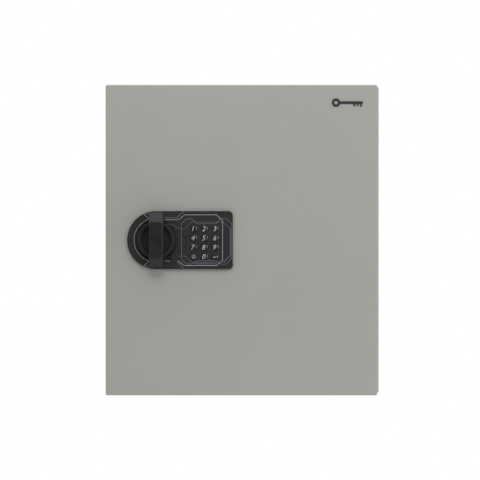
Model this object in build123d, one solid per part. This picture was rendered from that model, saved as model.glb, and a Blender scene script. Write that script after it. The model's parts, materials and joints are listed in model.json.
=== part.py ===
from build123d import *
import os
from math import radians, sin

# Wall-mounted steel key cabinet: a folded case, a full-height hinged door, a rotary-knob
# electronic lock and five rails of numbered hooks.
# Frame: +X to the right seen from the front, +Y into the wall, +Z up. The origin is the
# middle of the back face, which lies against the wall. Lengths are in millimetres.

# Case
WIDTH = 350.0
HEIGHT = 400.0
CASE_DEPTH = 80.0
CASE_SHEET = 1.2
CASE_BEND = 2.0
LIP = 16.0
PAN_FLANGE = 14.0
PAN_GAP = 0.2
WALL_HOLE_R = 4.0
WALL_HOLE_SIDE = 35.0
WALL_HOLE_END = 25.0

# Door
DOOR_DEPTH = 18.0
DOOR_SHEET = 1.5
DOOR_CORNER = 2.2
DOOR_BEND = 1.8
DOOR_FLANGE = 12.0
HINGE_FLANGE = 16.0

# Continuous hinge
KNUCKLES = 16
KNUCKLE_GAP = 0.3
HINGE_INSET = 3.2
BARREL_R = 1.8
BARREL_OFFSET = 0.4
LEAF = 0.8
LEAF_WIDTH = 15.0
PIN_R = 1.0
PIN_FIT = 0.03
PIN_HEAD_R = 1.6
PIN_HEAD = 0.5
NOTCH_GAP = 0.3

# Strike and door buffers
STRIKE = 2.0
STRIKE_HEIGHT = 60.0
BUFFER_R = 4.0
BUFFER_AIR = 0.3
BUFFER_END = 20.0

# Hook rails
RAILS = 5
HOOKS_PER_RAIL = 10
RAIL_MARGIN = 25.0
RAIL_END_MARGIN = 60.0
HOOK_MARGIN = 19.5
RAIL_SHEET = 1.0
RAIL_FLANGE = 14.0
RAIL_STANDOFF = 10.0
RAIL_WEB = 20.0
HOOK_R = 1.25
HOOK_DROP = 14.5
HOOK_REACH = 20.0
HOOK_TIP = 7.0
HOOK_BEND = 3.0
HOOK_HEAD_R = 2.2
HOOK_HEAD = 1.0
LABEL_TOP = 2.0
LABEL_HEIGHT = 8.0
LABEL_THICK = 0.5
LABEL_MARGIN = 2.0
STUD_R = 2.0
STUD_LENGTH = 8.0
STUD_MARGIN = 20.0
NUT_ACROSS_FLATS = 7.0
NUT_THICK = 3.2

# Lock plate on the door front, placed from the knob's axis
KNOB_INSET = 65.3
KNOB_Z = 0.0
PLATE_THICK = 5.0
PLATE_HALF = 37.4
PLATE_RIGHT = 98.6
PLATE_CORNER = 5.5
PLATE_EDGE = 0.7
RECESS_R = 26.4
RECESS_DEPTH = 2.0
PLATE_FACE = 1.5
POCKET_MARGIN = 2.2
PLATE_SCREW_LEFT = -22.0
PLATE_SCREW_RIGHT = 89.5
PLATE_SCREW_LEG = 4.0
PLATE_SCREW_RIGHT_Z = 27.0
PLATE_SCREW_R = 1.5
PLATE_SCREW_BITE = 2.5

# Keypad
KEYPAD_X = 62.2
KEYPAD_Z = -3.3
KEY_WEB_X = 4.4
KEY_WEB_Z = 2.4
KEY_NAMES = ["key_1", "key_2", "key_3", "key_4", "key_5", "key_6",
             "key_7", "key_8", "key_9", "key_power", "key_0", "key_enter"]
KEY_R = 4.8
KEY_GAP = 0.3
KEY_PROUD = 0.6
KEY_CROWN = 0.35
KEY_FLANGE_RIM = 0.7
KEY_FLANGE = 0.7
KEY_LIFT = 0.2
BOARD_THICK = 1.6
DOME_R = 3.2
DOME_THICK = 0.2
LED_WEB = 1.9
LED_Z = (5.2, -6.4)
LED_R = 3.4
LED_PROUD = 0.1

# Emergency keyhole, its cylinder and its swinging cover
KEYHOLE_GAP = 1.3
KEYHOLE_Z = -23.7
CYLINDER_R = 4.5
CYLINDER_LENGTH = 13.0
COLLAR_R = 6.0
COLLAR = 2.0
PLUG_R = 2.8
PLUG_FIT = 0.05
PLUG_SINK = 0.3
KEY_SLOT = (1.0, 4.2, 8.0)
TAIL = (3.0, 7.5, 2.5)
COVER_R = 4.85
COVER_LOBE_Z = -20.2
COVER_THICK = 2.2
COVER_AIR = 0.15
PIVOT_Z = -17.6
PIVOT_R = 0.9
PIVOT_FIT = 0.05
PIVOT_HEAD_R = 1.6
PIVOT_HEAD = 0.5
PIVOT_BITE = 1.8

# Knob and spindle
DISC_R = 23.8
DISC_HEIGHT = 14.5
KNOB_AIR = 0.5
DISH_R = 19.5
DISH_DEPTH = 7.0
BAR_WIDTH = 18.2
BAR_LENGTH = 71.5
BAR_HEIGHT = 25.0
BAR_SLOPE = 9.5
BAR_CORNER = 3.0
BAR_LIFT = 4.0
BAR_EDGE = 1.2
SPINDLE_R = 4.0
SPINDLE_BITE = 6.5
SPINDLE_SQUARE = 6.0
BUSH_R = 6.0
BUSH_FIT = 0.05
BUSH_FLANGE_R = 8.0
BUSH_FLANGE = 1.5

# Drive cam, bolt and bolt bracket
BOLT_TRAVEL = 14.0
CAM_THICK = 3.0
CAM_HUB_R = 8.0
CAM_PIN_R = 2.5
CAM_PIN_WALL = 2.0
CAM_BEHIND = 3.4
CAM_SCREW_R = 1.7
CAM_SCREW_BITE = 8.0
SCREW_HEAD_R = 3.0
SCREW_HEAD = 1.9
BOLT_THICK = 3.0
BOLT_PLAY = 0.5
BOLT_NOSE_AIR = 2.0
BOLT_TOP = 13.0
BOLT_EDGE = 2.8
BOLT_SIDE = 5.8
SLOT_AIR = 0.4
SLOT_END_AIR = 0.8
SLIDE_GAP = 0.3
BOLT_FLANGE = 2.0
BOLT_FLANGE_DEPTH = 7.3
BOLT_FLANGE_LENGTH = 37.0
BLOCK_HOLE_R = 2.5
BRACKET_SHEET = 2.0
BRACKET_LEFT = -29.5
BRACKET_TOP = 46.5
BRACKET_FOOT = 2.5
CAM_WINDOW_AIR = 0.8
GUIDE_SIDE = 3.2
GUIDE_LIP = 1.5
GUIDE_GRIP = 2.0

# Solenoid, placed from the knob's axis
PLUNGER_X = -15.3
COIL_R = 5.0
COIL_BOTTOM = 16.5
COIL_TOP = 31.0
FRAME_SHEET = 1.5
FRAME_BACK = 1.0
FRAME_WIDTH = 12.0
BRIDGE_Z = 44.0
PLUNGER_R = 2.5
PLUNGER_TIP_R = 2.0
PLUNGER_TIP = 4.5
PLUNGER_REST = 0.5
PLUNGER_HEAD_R = 4.0
PLUNGER_HEAD = 2.0
PLUNGER_HEAD_Z = 37.5
PLUNGER_AIR = 0.3
SPRING_R = 3.0
SPRING_WIRE_R = 0.3
SPRING_TURNS = 3

# Lock base and housing behind the door face, placed from the knob's axis
BASE_THICK = 3.0
HOUSING_LEFT = -44.3
HOUSING_SIDE = 5.5
HOUSING_TOP = 50.0
HOUSING_BOTTOM = -42.0
HOUSING_WALL = 2.0
HOUSING_BACK = 3.0
HOUSING_BEHIND_BOLT = 11.3
HOUSING_CORNER = 3.0
BASE_GAP = 0.5
BOSS_R = 3.5
BOSS_LEFT = -37.3
BOSS_INSET = 8.0
BOSS_Z = (-36.0, 43.0)
HOUSING_SCREW_R = 1.4
HOUSING_SCREW_GAP = 0.2
HOUSING_SCREW_BITE = 2.4
COUNTERBORE = 2.5
COUNTERBORE_GAP = 0.2

# Main board, batteries, battery tray and sliding cover, placed from the knob's axis
MAIN_BOARD_X = (20.7, 82.7)
MAIN_BOARD_Z = (-17.0, 46.0)
MAIN_BOARD_LIFT = 7.1
POST_R = 2.5
POST_INSET = 4.0
CELLS = 4
CELL_R = 7.1
CELL_LENGTH = 49.0
CELL_NUB_R = 2.7
CELL_NUB = 1.5
CELL_GAP = 1.3
CONTACT_AIR = 0.5
TRAY_LEFT = 27.2
TRAY_WALL = 1.5
TRAY_RIM = 1.5
TRAY_RIM_Z = 31.8
COVER_LEFT = 29.7
COVER_HALF = 30.0
COVER_GAP = 0.3
TONGUE = 1.3
TONGUE_THICK = 0.8
GRIP_RIBS = 5
GRIP_RIB = (1.2, 24.0, 0.6)
GRIP_PITCH = 3.0
RIBBON_X = (39.7, 51.7)
RIBBON_Z = 5.3
RIBBON_THICK = 0.6
RIBBON_AIR = 2.0
LEAD_R = 0.8
LEAD_BEND = 4.0
LEAD_Z = 24.0
LEAD_DROP_X = 23.7
BATTERY_LEADS_X = (68.0, 72.0)

# Badge on the door front, a plain key outline placed from the top right corner
BADGE_INSET = (38.7, 23.0)
BADGE_LENGTH = 40.0
BADGE_BOW_R = 5.5
BADGE_EYE_R = 2.4
BADGE_SHAFT = 3.4
BADGE_TEETH = [(9.0, 3.0), (13.5, 2.4), (17.6, 3.4)]
BADGE_TOOTH = 2.4
BADGE_THICK = 0.8

# Faces along Y, worked out from the sizes above
HINGE_GAP = 2 * BARREL_R
CASE_FRONT = -CASE_DEPTH
DOOR_REAR = CASE_FRONT - HINGE_GAP
DOOR_FRONT = DOOR_REAR - DOOR_DEPTH
DOOR_INSIDE = DOOR_FRONT + DOOR_SHEET
PLATE_FRONT = DOOR_FRONT - PLATE_THICK
RECESS_FLOOR = PLATE_FRONT + RECESS_DEPTH
FACE_REAR = PLATE_FRONT + PLATE_FACE
KEYPAD_BOARD_FRONT = DOOR_FRONT - BOARD_THICK
BASE_REAR = DOOR_INSIDE + BASE_THICK
STRIKE_REAR = CASE_FRONT + CASE_SHEET + STRIKE
BOLT_FRONT = STRIKE_REAR + BOLT_PLAY
BOLT_REAR = BOLT_FRONT + BOLT_THICK
WEB_REAR = BOLT_FRONT - SLIDE_GAP
WEB_FRONT = WEB_REAR - BRACKET_SHEET
CAM_REAR = WEB_FRONT - CAM_BEHIND
CAM_FRONT = CAM_REAR - CAM_THICK
HOUSING_REAR = BOLT_REAR + HOUSING_BEHIND_BOLT
HOUSING_INNER = HOUSING_REAR - HOUSING_BACK
PLUNGER_Y = WEB_REAR + FRAME_BACK + COIL_R
MAIN_BOARD_FRONT = BASE_REAR + MAIN_BOARD_LIFT
MAIN_BOARD_REAR = MAIN_BOARD_FRONT + BOARD_THICK
KNOB_REAR = RECESS_FLOOR - KNOB_AIR
DISC_FRONT = KNOB_REAR - DISC_HEIGHT
DISH_FLOOR = DISC_FRONT + DISH_DEPTH
BAR_FRONT = PLATE_FRONT - BAR_HEIGHT

# Places in X and Z
KNOB_X = -WIDTH / 2 + KNOB_INSET
KEY_COLUMNS = [KEYPAD_X + i * (2 * KEY_R + KEY_WEB_X) for i in (-1, 0, 1)]
KEY_ROWS = [KEYPAD_Z + i * (2 * KEY_R + KEY_WEB_Z) for i in (1.5, 0.5, -0.5, -1.5)]
KEY_FLANGE_R = KEY_R + KEY_FLANGE_RIM
LED_X = KEY_COLUMNS[0] - KEY_FLANGE_R - LED_WEB - LED_R
POCKET_X = (LED_X - LED_R - POCKET_MARGIN, KEY_COLUMNS[-1] + KEY_FLANGE_R + POCKET_MARGIN)
POCKET_Z = (KEY_ROWS[-1] - KEY_FLANGE_R - POCKET_MARGIN, KEY_ROWS[0] + KEY_FLANGE_R + POCKET_MARGIN)
CELL_PITCH = 2 * CELL_R + CELL_GAP
HOUSING_RIGHT = TRAY_LEFT + 2 * TRAY_WALL + CELLS * CELL_PITCH + HOUSING_SIDE
BOSS_X = (BOSS_LEFT, HOUSING_RIGHT - BOSS_INSET)
HINGE_X = WIDTH / 2 + BARREL_OFFSET
HINGE_Y = CASE_FRONT - BARREL_R
KNUCKLE_PITCH = (HEIGHT - 2 * HINGE_INSET) / KNUCKLES
HINGE_BOTTOM = -HEIGHT / 2 + HINGE_INSET
RAIL_LENGTH = WIDTH - 2 * RAIL_MARGIN
RAIL_PITCH = (HEIGHT - 2 * RAIL_END_MARGIN) / (RAILS - 1)
HOOK_PITCH = (RAIL_LENGTH - 2 * HOOK_MARGIN) / (HOOKS_PER_RAIL - 1)
CAM_PIN_REACH = BOLT_TRAVEL / 2
SLOT_HALF = CAM_PIN_R + SLOT_AIR
CAM_RADIUS = CAM_PIN_REACH / sin(radians(45))
CAM_SWEEP_R = CAM_RADIUS + CAM_PIN_R
BOLT_BOTTOM = -CAM_SWEEP_R - SLOT_END_AIR - BOLT_EDGE
BOLT_TAIL = CAM_PIN_REACH + SLOT_HALF + BOLT_SIDE
BRACKET_RIGHT = BOLT_TAIL
KEYHOLE_X = BRACKET_RIGHT + COLLAR_R + KEYHOLE_GAP
BRACKET_BOTTOM = BOLT_BOTTOM - SLIDE_GAP - GUIDE_SIDE - BRACKET_FOOT
PLATE_SCREW_LEFT_Z = -BRACKET_BOTTOM + PLATE_SCREW_LEG
PLATE_SCREWS = [(PLATE_SCREW_LEFT, PLATE_SCREW_LEFT_Z), (PLATE_SCREW_LEFT, -PLATE_SCREW_LEFT_Z),
                (PLATE_SCREW_RIGHT, PLATE_SCREW_RIGHT_Z), (PLATE_SCREW_RIGHT, -PLATE_SCREW_RIGHT_Z)]
WALL_HOLE_X = WIDTH / 2 - WALL_HOLE_SIDE
WALL_HOLE_Z = HEIGHT / 2 - WALL_HOLE_END
BUFFER_Z = HEIGHT / 2 - BUFFER_END


def block(x, y, z):
    """A box between two limits on each axis."""
    size = [high - low for low, high in (x, y, z)]
    centre = [(high + low) / 2 for low, high in (x, y, z)]
    return Pos(*centre) * Box(*size)


def around(centre, half):
    """The two limits that lie half each side of a centre."""
    return (centre - half, centre + half)


def disc(x, z, y, radius):
    """A round bar along Y between the two limits in y."""
    low, high = y
    return Pos(x, (low + high) / 2, z) * Rot(90, 0, 0) * Cylinder(radius, high - low)


def post(x, y, z, radius):
    """A round bar along Z between the two limits in z."""
    low, high = z
    return Pos(x, y, (low + high) / 2) * Cylinder(radius, high - low)


def slab(outline, y):
    """An outline drawn in X and Z, given thickness between its front and rear y."""
    front, rear = y
    return extrude(Plane.XZ.offset(-rear) * outline, rear - front)


def from_knob(x, z):
    """A place given from the knob's axis."""
    return KNOB_X + x, KNOB_Z + z


def knob_span(x):
    """Two limits in X given from the knob's axis."""
    return (KNOB_X + x[0], KNOB_X + x[1])


def knob_height(z):
    """Two limits in Z given from the knob's axis."""
    return (KNOB_Z + z[0], KNOB_Z + z[1])


def save(name, part):
    """Write one sub-part as a STEP file."""
    export_step(part, f"parts/{name}.step")


def group(solids):
    """Separate solids that share one node."""
    return Compound(children=[s.solid() for s in solids])


# Case

def case_wrap():
    """Sides, back and front lips, folded from one sheet."""
    inside = (WIDTH - 2 * CASE_SHEET, CASE_DEPTH - 2 * CASE_SHEET)
    mouth = Pos(0, -CASE_DEPTH / 2) * Rectangle(WIDTH - 2 * LIP, 4 * CASE_SHEET)
    section = RectangleRounded(WIDTH, CASE_DEPTH, CASE_BEND)
    section -= RectangleRounded(*inside, CASE_BEND - CASE_SHEET)
    section -= mouth
    wrap = extrude(Pos(0, -CASE_DEPTH / 2) * section, HEIGHT / 2, both=True)
    for x in (-WALL_HOLE_X, WALL_HOLE_X):
        for z in (-WALL_HOLE_Z, WALL_HOLE_Z):
            wrap -= disc(x, z, (-2 * CASE_SHEET, CASE_SHEET), WALL_HOLE_R)
    return wrap


def case_top():
    """The roof pan, welded inside the wrap, with a front lip between the wrap's lips."""
    top = HEIGHT / 2
    half = WIDTH / 2 - CASE_SHEET
    depth = CASE_DEPTH - 2 * CASE_SHEET
    flange = (top - PAN_FLANGE, top)
    roof = RectangleRounded(2 * half, depth, CASE_BEND - CASE_SHEET + PAN_GAP)
    pan = Pos(0, -CASE_DEPTH / 2, top - CASE_SHEET) * extrude(roof, CASE_SHEET)
    lip = (CASE_FRONT, CASE_FRONT + CASE_SHEET)
    pan += block(around(0, WIDTH / 2 - LIP - PAN_GAP), lip, (top - LIP, top))
    back = WIDTH / 2 - RAIL_MARGIN
    pan += block(around(0, back), (-2 * CASE_SHEET, -CASE_SHEET), flange)
    for side in (-1, 1):
        outer = side * half
        inner = side * (half - CASE_SHEET)
        run = (CASE_FRONT + PAN_FLANGE, -PAN_FLANGE)
        pan += block((min(inner, outer), max(inner, outer)), run, flange)
    for x in (-WALL_HOLE_X, WALL_HOLE_X):
        pan -= disc(x, WALL_HOLE_Z, (-3 * CASE_SHEET, 0), 2 * WALL_HOLE_R)
    return pan


def strike_plate():
    """Thick plate behind the left lip, where the bolt catches."""
    x = (-WIDTH / 2 + CASE_BEND, -WIDTH / 2 + LIP)
    return block(x, (CASE_FRONT + CASE_SHEET, STRIKE_REAR), around(KNOB_Z, STRIKE_HEIGHT / 2))


def door_buffers():
    """Two rubber pads on the left lip."""
    x = -WIDTH / 2 + LIP / 2
    y = (CASE_FRONT - HINGE_GAP + BUFFER_AIR, CASE_FRONT)
    return group([disc(x, z, y, BUFFER_R) for z in (-BUFFER_Z, BUFFER_Z)])


# Hinge

def knuckles(first):
    """The Z limits of every second knuckle."""
    starts = [HINGE_BOTTOM + i * KNUCKLE_PITCH for i in range(first, KNUCKLES, 2)]
    half_gap = KNUCKLE_GAP / 2
    return [(z + half_gap, z + KNUCKLE_PITCH - half_gap) for z in starts]


def hinge_leaf(first, y):
    """One leaf of the hinge, with its knuckles, notched for the other leaf's."""
    length = around(0, -HINGE_BOTTOM - KNUCKLE_GAP / 2)
    leaf = block((HINGE_X - LEAF_WIDTH, HINGE_X), y, length)
    for low, high in knuckles(1 - first):
        notch = (HINGE_X - BARREL_R - NOTCH_GAP, HINGE_X + BARREL_R)
        leaf -= block(notch, around(HINGE_Y, HINGE_GAP), (low - KNUCKLE_GAP, high + KNUCKLE_GAP))
    for span in knuckles(first):
        leaf += post(HINGE_X, HINGE_Y, span, BARREL_R)
    return leaf - post(HINGE_X, HINGE_Y, around(0, HEIGHT), PIN_R + PIN_FIT)


def hinge_pin():
    """The rod through all knuckles, peened at both ends."""
    low = knuckles(0)[0][0]
    high = knuckles(1)[-1][1] + KNUCKLE_GAP
    pin = post(HINGE_X, HINGE_Y, (low - PIN_HEAD, high + PIN_HEAD), PIN_R)
    pin += post(HINGE_X, HINGE_Y, (low - PIN_HEAD, low), PIN_HEAD_R)
    return pin + post(HINGE_X, HINGE_Y, (high, high + PIN_HEAD), PIN_HEAD_R)


# Hook rails

def rail_heights():
    """The Z of each rail's shelf, from the top down."""
    return [(RAILS - 1) / 2 * RAIL_PITCH - i * RAIL_PITCH for i in range(RAILS)]


def hook_places():
    """The X of each hook on a rail."""
    return [-RAIL_LENGTH / 2 + HOOK_MARGIN + i * HOOK_PITCH for i in range(HOOKS_PER_RAIL)]


def stud_places():
    """The X and Z of each rail stud."""
    x = RAIL_LENGTH / 2 - STUD_MARGIN
    return [(side, z + RAIL_FLANGE / 2) for z in rail_heights() for side in (-x, x)]


def web_front():
    """The front face of each rail's web, where the labels are stuck."""
    return -CASE_SHEET - RAIL_STANDOFF


def hook_rail(z):
    """A Z-shaped rail: a flange on the back wall, a shelf and a hanging web."""
    long = around(0, RAIL_LENGTH / 2)
    front = web_front()
    rail = block(long, (-CASE_SHEET - RAIL_SHEET, -CASE_SHEET), (z, z + RAIL_FLANGE))
    rail += block(long, (front, -CASE_SHEET), (z - RAIL_SHEET, z))
    rail += block(long, (front, front + RAIL_SHEET), (z - RAIL_WEB, z))
    for x in hook_places():
        rail -= disc(x, z - HOOK_DROP, (front - 1, front + 2 * RAIL_SHEET), HOOK_R)
    for x, stud_z in stud_places():
        rail -= disc(x, stud_z, (-CASE_SHEET - 2 * RAIL_SHEET, 0), STUD_R)
    return rail


def key_hook(x, z):
    """One J-shaped wire hook, its tail headed over behind the web."""
    head = web_front() + RAIL_SHEET + HOOK_HEAD
    tip = web_front() - HOOK_REACH
    path = FilletPolyline((x, head, z), (x, tip, z), (x, tip, z + HOOK_TIP), radius=HOOK_BEND)
    hook = sweep(Plane(path @ 0, z_dir=path % 0) * Circle(HOOK_R), path=path)
    return hook + disc(x, z, (head - HOOK_HEAD, head), HOOK_HEAD_R)


def key_hooks():
    """Every hook on every rail."""
    rows = [z - HOOK_DROP for z in rail_heights()]
    return group([key_hook(x, z) for z in rows for x in hook_places()])


def label_strips():
    """A number strip on each rail's web, above its hooks."""
    front = web_front()
    strips = []
    for z in rail_heights():
        high = z - LABEL_TOP
        strip = around(0, RAIL_LENGTH / 2 - LABEL_MARGIN)
        strips.append(block(strip, (front - LABEL_THICK, front), (high - LABEL_HEIGHT, high)))
    return group(strips)


def rail_studs():
    """Threaded studs welded to the back wall."""
    y = (-CASE_SHEET - STUD_LENGTH, -CASE_SHEET)
    return group([disc(x, z, y, STUD_R) for x, z in stud_places()])


def rail_nuts():
    """The nuts that clamp the rails to their studs."""
    outline = RegularPolygon(NUT_ACROSS_FLATS / 2, 6, major_radius=False) - Circle(STUD_R)
    y = (-CASE_SHEET - RAIL_SHEET - NUT_THICK, -CASE_SHEET - RAIL_SHEET)
    return group([slab(Pos(x, z) * outline, y) for x, z in stud_places()])


# Door

def rounded_pan(width, height, corner, bend, y):
    """A flat block with rounded corners and a bend radius round its front face."""
    pan = slab(RectangleRounded(width, height, corner), y)
    return fillet(pan.faces().sort_by(Axis.Y)[0].edges(), bend)


def ribbon_slot():
    """The opening for the keypad ribbon through the door and the lock base."""
    low, high = knob_span(RIBBON_X)
    z = around(KNOB_Z + RIBBON_Z, RIBBON_THICK / 2 + RIBBON_AIR)
    return block((low - RIBBON_AIR, high + RIBBON_AIR), (DOOR_FRONT - 1, BASE_REAR + 1), z)


def lock_holes(part, y, screw_r):
    """Cut the holes that the door and the lock base share."""
    part -= disc(KNOB_X, KNOB_Z, y, BUSH_R)
    part -= disc(*from_knob(KEYHOLE_X, KEYHOLE_Z), y, CYLINDER_R)
    for x, z in PLATE_SCREWS:
        part -= disc(*from_knob(x, z), y, screw_r)
    return part - ribbon_slot()


def door_panel():
    """The folded door: face, four sides and the return flanges at the rear."""
    panel = rounded_pan(WIDTH, HEIGHT, DOOR_CORNER, DOOR_BEND, (DOOR_FRONT, DOOR_REAR))
    inner = (WIDTH - 2 * DOOR_SHEET, HEIGHT - 2 * DOOR_SHEET)
    corner = DOOR_CORNER - DOOR_SHEET
    bend = DOOR_BEND - DOOR_SHEET
    panel -= rounded_pan(*inner, corner, bend, (DOOR_INSIDE, DOOR_REAR - DOOR_SHEET))
    x = (-WIDTH / 2 + DOOR_FLANGE, WIDTH / 2 - HINGE_FLANGE)
    z = around(0, HEIGHT / 2 - DOOR_FLANGE)
    panel -= block(x, (DOOR_REAR - 2 * DOOR_SHEET, DOOR_REAR + 1), z)
    return lock_holes(panel, (DOOR_FRONT - 1, DOOR_INSIDE + 1), PLATE_SCREW_R)


def badge():
    """A thin plain badge in the outline of a key, near the door's top right corner."""
    half = BADGE_LENGTH / 2
    bow = -half + BADGE_BOW_R
    shaft = Pos((bow + half) / 2, 0) * Rectangle(half - bow, BADGE_SHAFT)
    outline = Pos(bow, 0) * Circle(BADGE_BOW_R) + shaft
    for x, drop in BADGE_TEETH:
        outline += Pos(x, -(BADGE_SHAFT + drop) / 2) * Rectangle(BADGE_TOOTH, drop)
    outline -= Pos(bow, 0) * Circle(BADGE_EYE_R)
    place = Pos(WIDTH / 2 - BADGE_INSET[0], HEIGHT / 2 - BADGE_INSET[1])
    return slab(place * outline, (DOOR_FRONT - BADGE_THICK, DOOR_FRONT))


# Lock front

def plate_outline():
    """Half round at the left, concentric with the knob, and small corners at the right."""
    middle = PLATE_RIGHT / 2
    outline = Circle(PLATE_HALF) + Pos(middle / 2, 0) * Rectangle(middle, 2 * PLATE_HALF)
    end = RectangleRounded(PLATE_RIGHT - middle / 2, 2 * PLATE_HALF, PLATE_CORNER)
    return outline + Pos((PLATE_RIGHT + middle / 2) / 2, 0) * end


def key_places():
    """The name, X and Z of each key."""
    spots = [from_knob(x, z) for z in KEY_ROWS for x in KEY_COLUMNS]
    return list(zip(KEY_NAMES, spots))


def lock_plate():
    """The moulded front plate with its knob recess, key holes and keypad pocket."""
    outline = Pos(KNOB_X, KNOB_Z) * plate_outline()
    plate = slab(outline, (PLATE_FRONT, DOOR_FRONT))
    plate = fillet(plate.faces().sort_by(Axis.Y)[0].edges(), PLATE_EDGE)
    through = (PLATE_FRONT - 1, DOOR_FRONT + 1)
    plate -= disc(KNOB_X, KNOB_Z, (PLATE_FRONT - 1, RECESS_FLOOR), RECESS_R)
    plate -= block(knob_span(POCKET_X), (FACE_REAR, DOOR_FRONT + 1), knob_height(POCKET_Z))
    plate -= disc(KNOB_X, KNOB_Z, through, BUSH_R)
    plate -= disc(*from_knob(KEYHOLE_X, KEYHOLE_Z), through, CYLINDER_R)
    bite = (PLATE_FRONT - 1, PLATE_FRONT + PIVOT_BITE)
    plate -= disc(*from_knob(KEYHOLE_X, PIVOT_Z), bite, PIVOT_R)
    for x, z in PLATE_SCREWS:
        bite = (DOOR_FRONT - PLATE_SCREW_BITE, DOOR_FRONT + 1)
        plate -= disc(*from_knob(x, z), bite, PLATE_SCREW_R)
    for _, (x, z) in key_places():
        plate -= disc(x, z, through, KEY_R + KEY_GAP)
    for z in LED_Z:
        plate -= disc(*from_knob(LED_X, z), through, LED_R)
    return plate


def keypad_key(x, z):
    """One domed key with a flange behind the plate."""
    front = PLATE_FRONT - KEY_PROUD
    flange_front = FACE_REAR + KEY_LIFT
    crown_r = (KEY_R ** 2 + KEY_CROWN ** 2) / (2 * KEY_CROWN)
    cap = disc(x, z, (front, flange_front), KEY_R)
    cap &= Pos(x, front + crown_r, z) * Rot(90, 0, 0) * Sphere(crown_r)
    return cap + disc(x, z, (flange_front, flange_front + KEY_FLANGE), KEY_FLANGE_R)


def keypad_board():
    """The printed board that closes the keypad pocket."""
    x = knob_span(POCKET_X)
    return block(x, (KEYPAD_BOARD_FRONT, DOOR_FRONT), knob_height(POCKET_Z))


def snap_domes():
    """One pressed metal dome on the board under each key."""
    y = (KEYPAD_BOARD_FRONT - DOME_THICK, KEYPAD_BOARD_FRONT)
    return group([disc(x, z, y, DOME_R) for _, (x, z) in key_places()])


def led_windows():
    """Two round lamp windows between the knob and the keys."""
    y = (PLATE_FRONT - LED_PROUD, KEYPAD_BOARD_FRONT)
    return group([disc(*from_knob(LED_X, z), y, LED_R) for z in LED_Z])


def plate_screws():
    """Screws from the lock base through the door into the lock plate."""
    screws = []
    for x, z in PLATE_SCREWS:
        place = from_knob(x, z)
        shank = disc(*place, (DOOR_FRONT - PLATE_SCREW_BITE, BASE_REAR), PLATE_SCREW_R)
        screws.append(shank + screw_head(place, BASE_REAR))
    return group(screws)


def screw_head(place, y, radius=SCREW_HEAD_R):
    """A pan head that faces the rear, with a cross recess."""
    head = disc(*place, (y, y + SCREW_HEAD), radius)
    recess = (y + SCREW_HEAD / 2, y + SCREW_HEAD + 1)
    long = radius / 2
    narrow = radius / 8
    head -= block(around(place[0], long), recess, around(place[1], narrow))
    return head - block(around(place[0], narrow), recess, around(place[1], long))


# Emergency cylinder and cover

def cover_faces():
    """The front and rear y of the swinging cover."""
    rear = PLATE_FRONT - COVER_AIR
    return rear - COVER_THICK, rear


def key_cover():
    """An oval cover that hangs from its pivot over the keyhole."""
    front, rear = cover_faces()
    middle = (COVER_LOBE_Z + KEYHOLE_Z) / 2
    length = COVER_LOBE_Z - KEYHOLE_Z + 2 * COVER_R
    outline = Rot(0, 0, 90) * SlotOverall(length, 2 * COVER_R)
    cover = slab(Pos(*from_knob(KEYHOLE_X, middle)) * outline, (front, rear))
    cover = fillet(cover.faces().sort_by(Axis.Y)[0].edges(), PIVOT_HEAD)
    pivot = from_knob(KEYHOLE_X, PIVOT_Z)
    cover -= disc(*pivot, (front - 1, rear + 1), PIVOT_R + PIVOT_FIT)
    sink = (front - 1, front + PIVOT_HEAD + COVER_AIR)
    return cover - disc(*pivot, sink, PIVOT_HEAD_R + COVER_AIR)


def cover_pivot():
    """The headed pin that the cover hangs from."""
    front, _ = cover_faces()
    pivot = from_knob(KEYHOLE_X, PIVOT_Z)
    pin = disc(*pivot, (front, PLATE_FRONT + PIVOT_BITE), PIVOT_R)
    return pin + disc(*pivot, (front, front + PIVOT_HEAD), PIVOT_HEAD_R)


def cylinder_body():
    """The fixed sleeve of the emergency lock, with a collar behind the base."""
    place = from_knob(KEYHOLE_X, KEYHOLE_Z)
    rear = PLATE_FRONT + CYLINDER_LENGTH
    body = disc(*place, (PLATE_FRONT, rear), CYLINDER_R)
    body += disc(*place, (BASE_REAR, BASE_REAR + COLLAR), COLLAR_R)
    return body - disc(*place, (PLATE_FRONT - 1, rear + 1), PLUG_R + PLUG_FIT)


def cylinder_plug():
    """The turning plug with its key slot and its tail."""
    x, z = from_knob(KEYHOLE_X, KEYHOLE_Z)
    front = PLATE_FRONT + PLUG_SINK
    rear = PLATE_FRONT + CYLINDER_LENGTH + PLUG_SINK
    width, height, depth = KEY_SLOT
    tail_width, tail_length, tail_thick = TAIL
    plug = disc(x, z, (front, rear), PLUG_R)
    plug -= block(around(x, width / 2), (front - 1, front + depth), around(z, height / 2))
    tail = (z - tail_length + PLUG_R, z + PLUG_R)
    return plug + block(around(x, tail_width / 2), (rear, rear + tail_thick), tail)


# Knob, spindle and drive

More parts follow.
